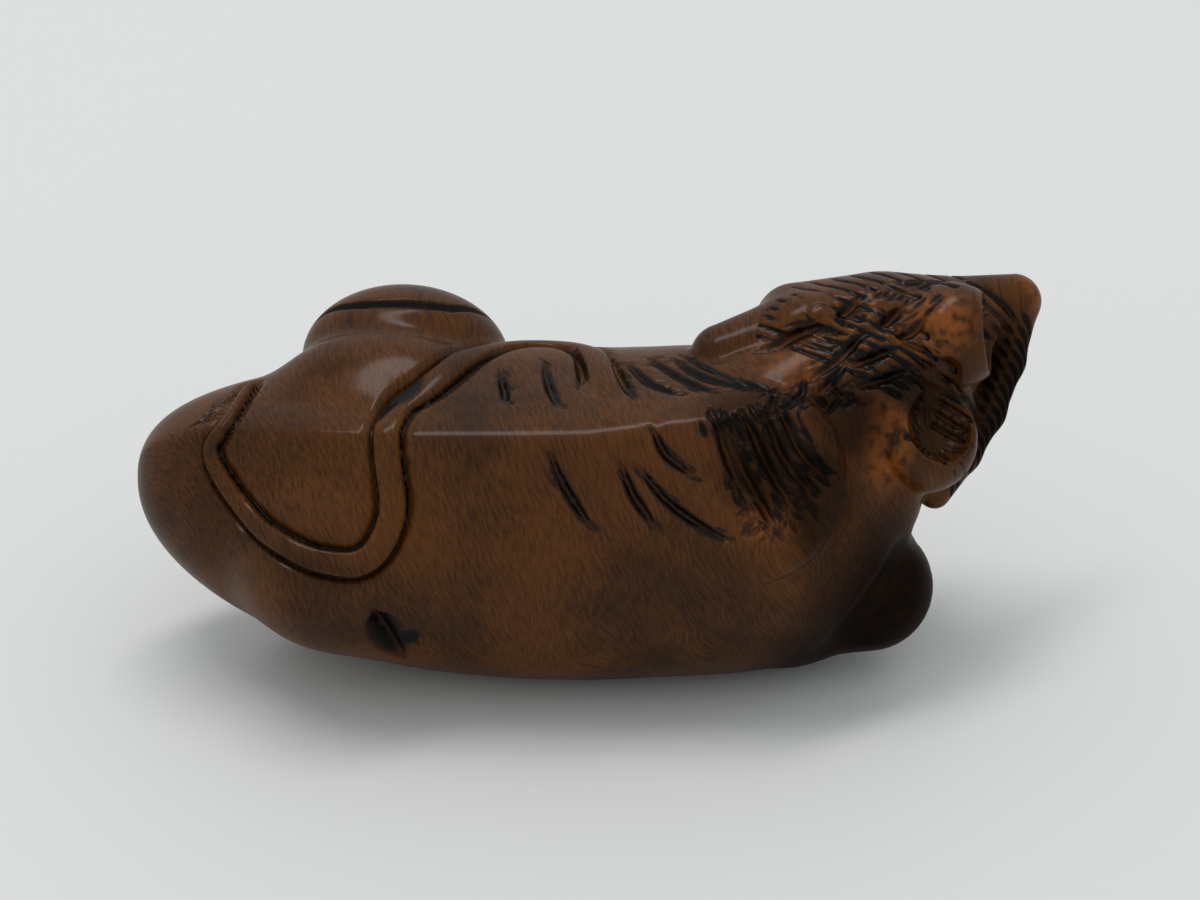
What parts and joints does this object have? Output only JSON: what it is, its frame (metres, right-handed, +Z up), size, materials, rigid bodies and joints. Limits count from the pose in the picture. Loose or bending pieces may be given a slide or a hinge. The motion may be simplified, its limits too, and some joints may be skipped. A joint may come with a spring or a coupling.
{
  "type": "tiger netsuke",
  "caption": "Carved boxwood toggle in the form of a crouching tiger looking back over its shoulder, with two cord holes under the belly.",
  "frame": {"origin": "under the middle of the bounding box, on the surface the tiger lies on", "axes": "+X towards the tiger's breast and head along its spine, +Y towards its belly and feet, away from the side that is shown, +Z up; the spine faces -Y and up"},
  "size_m": [0.0608, 0.0258, 0.0257],
  "materials": {
    "stained_boxwood": "dark stained, rubbed and polished by handling"
  },
  "bodies": {
    "root": {"carved_tiger": "stained_boxwood"}
  },
  "joints": []
}
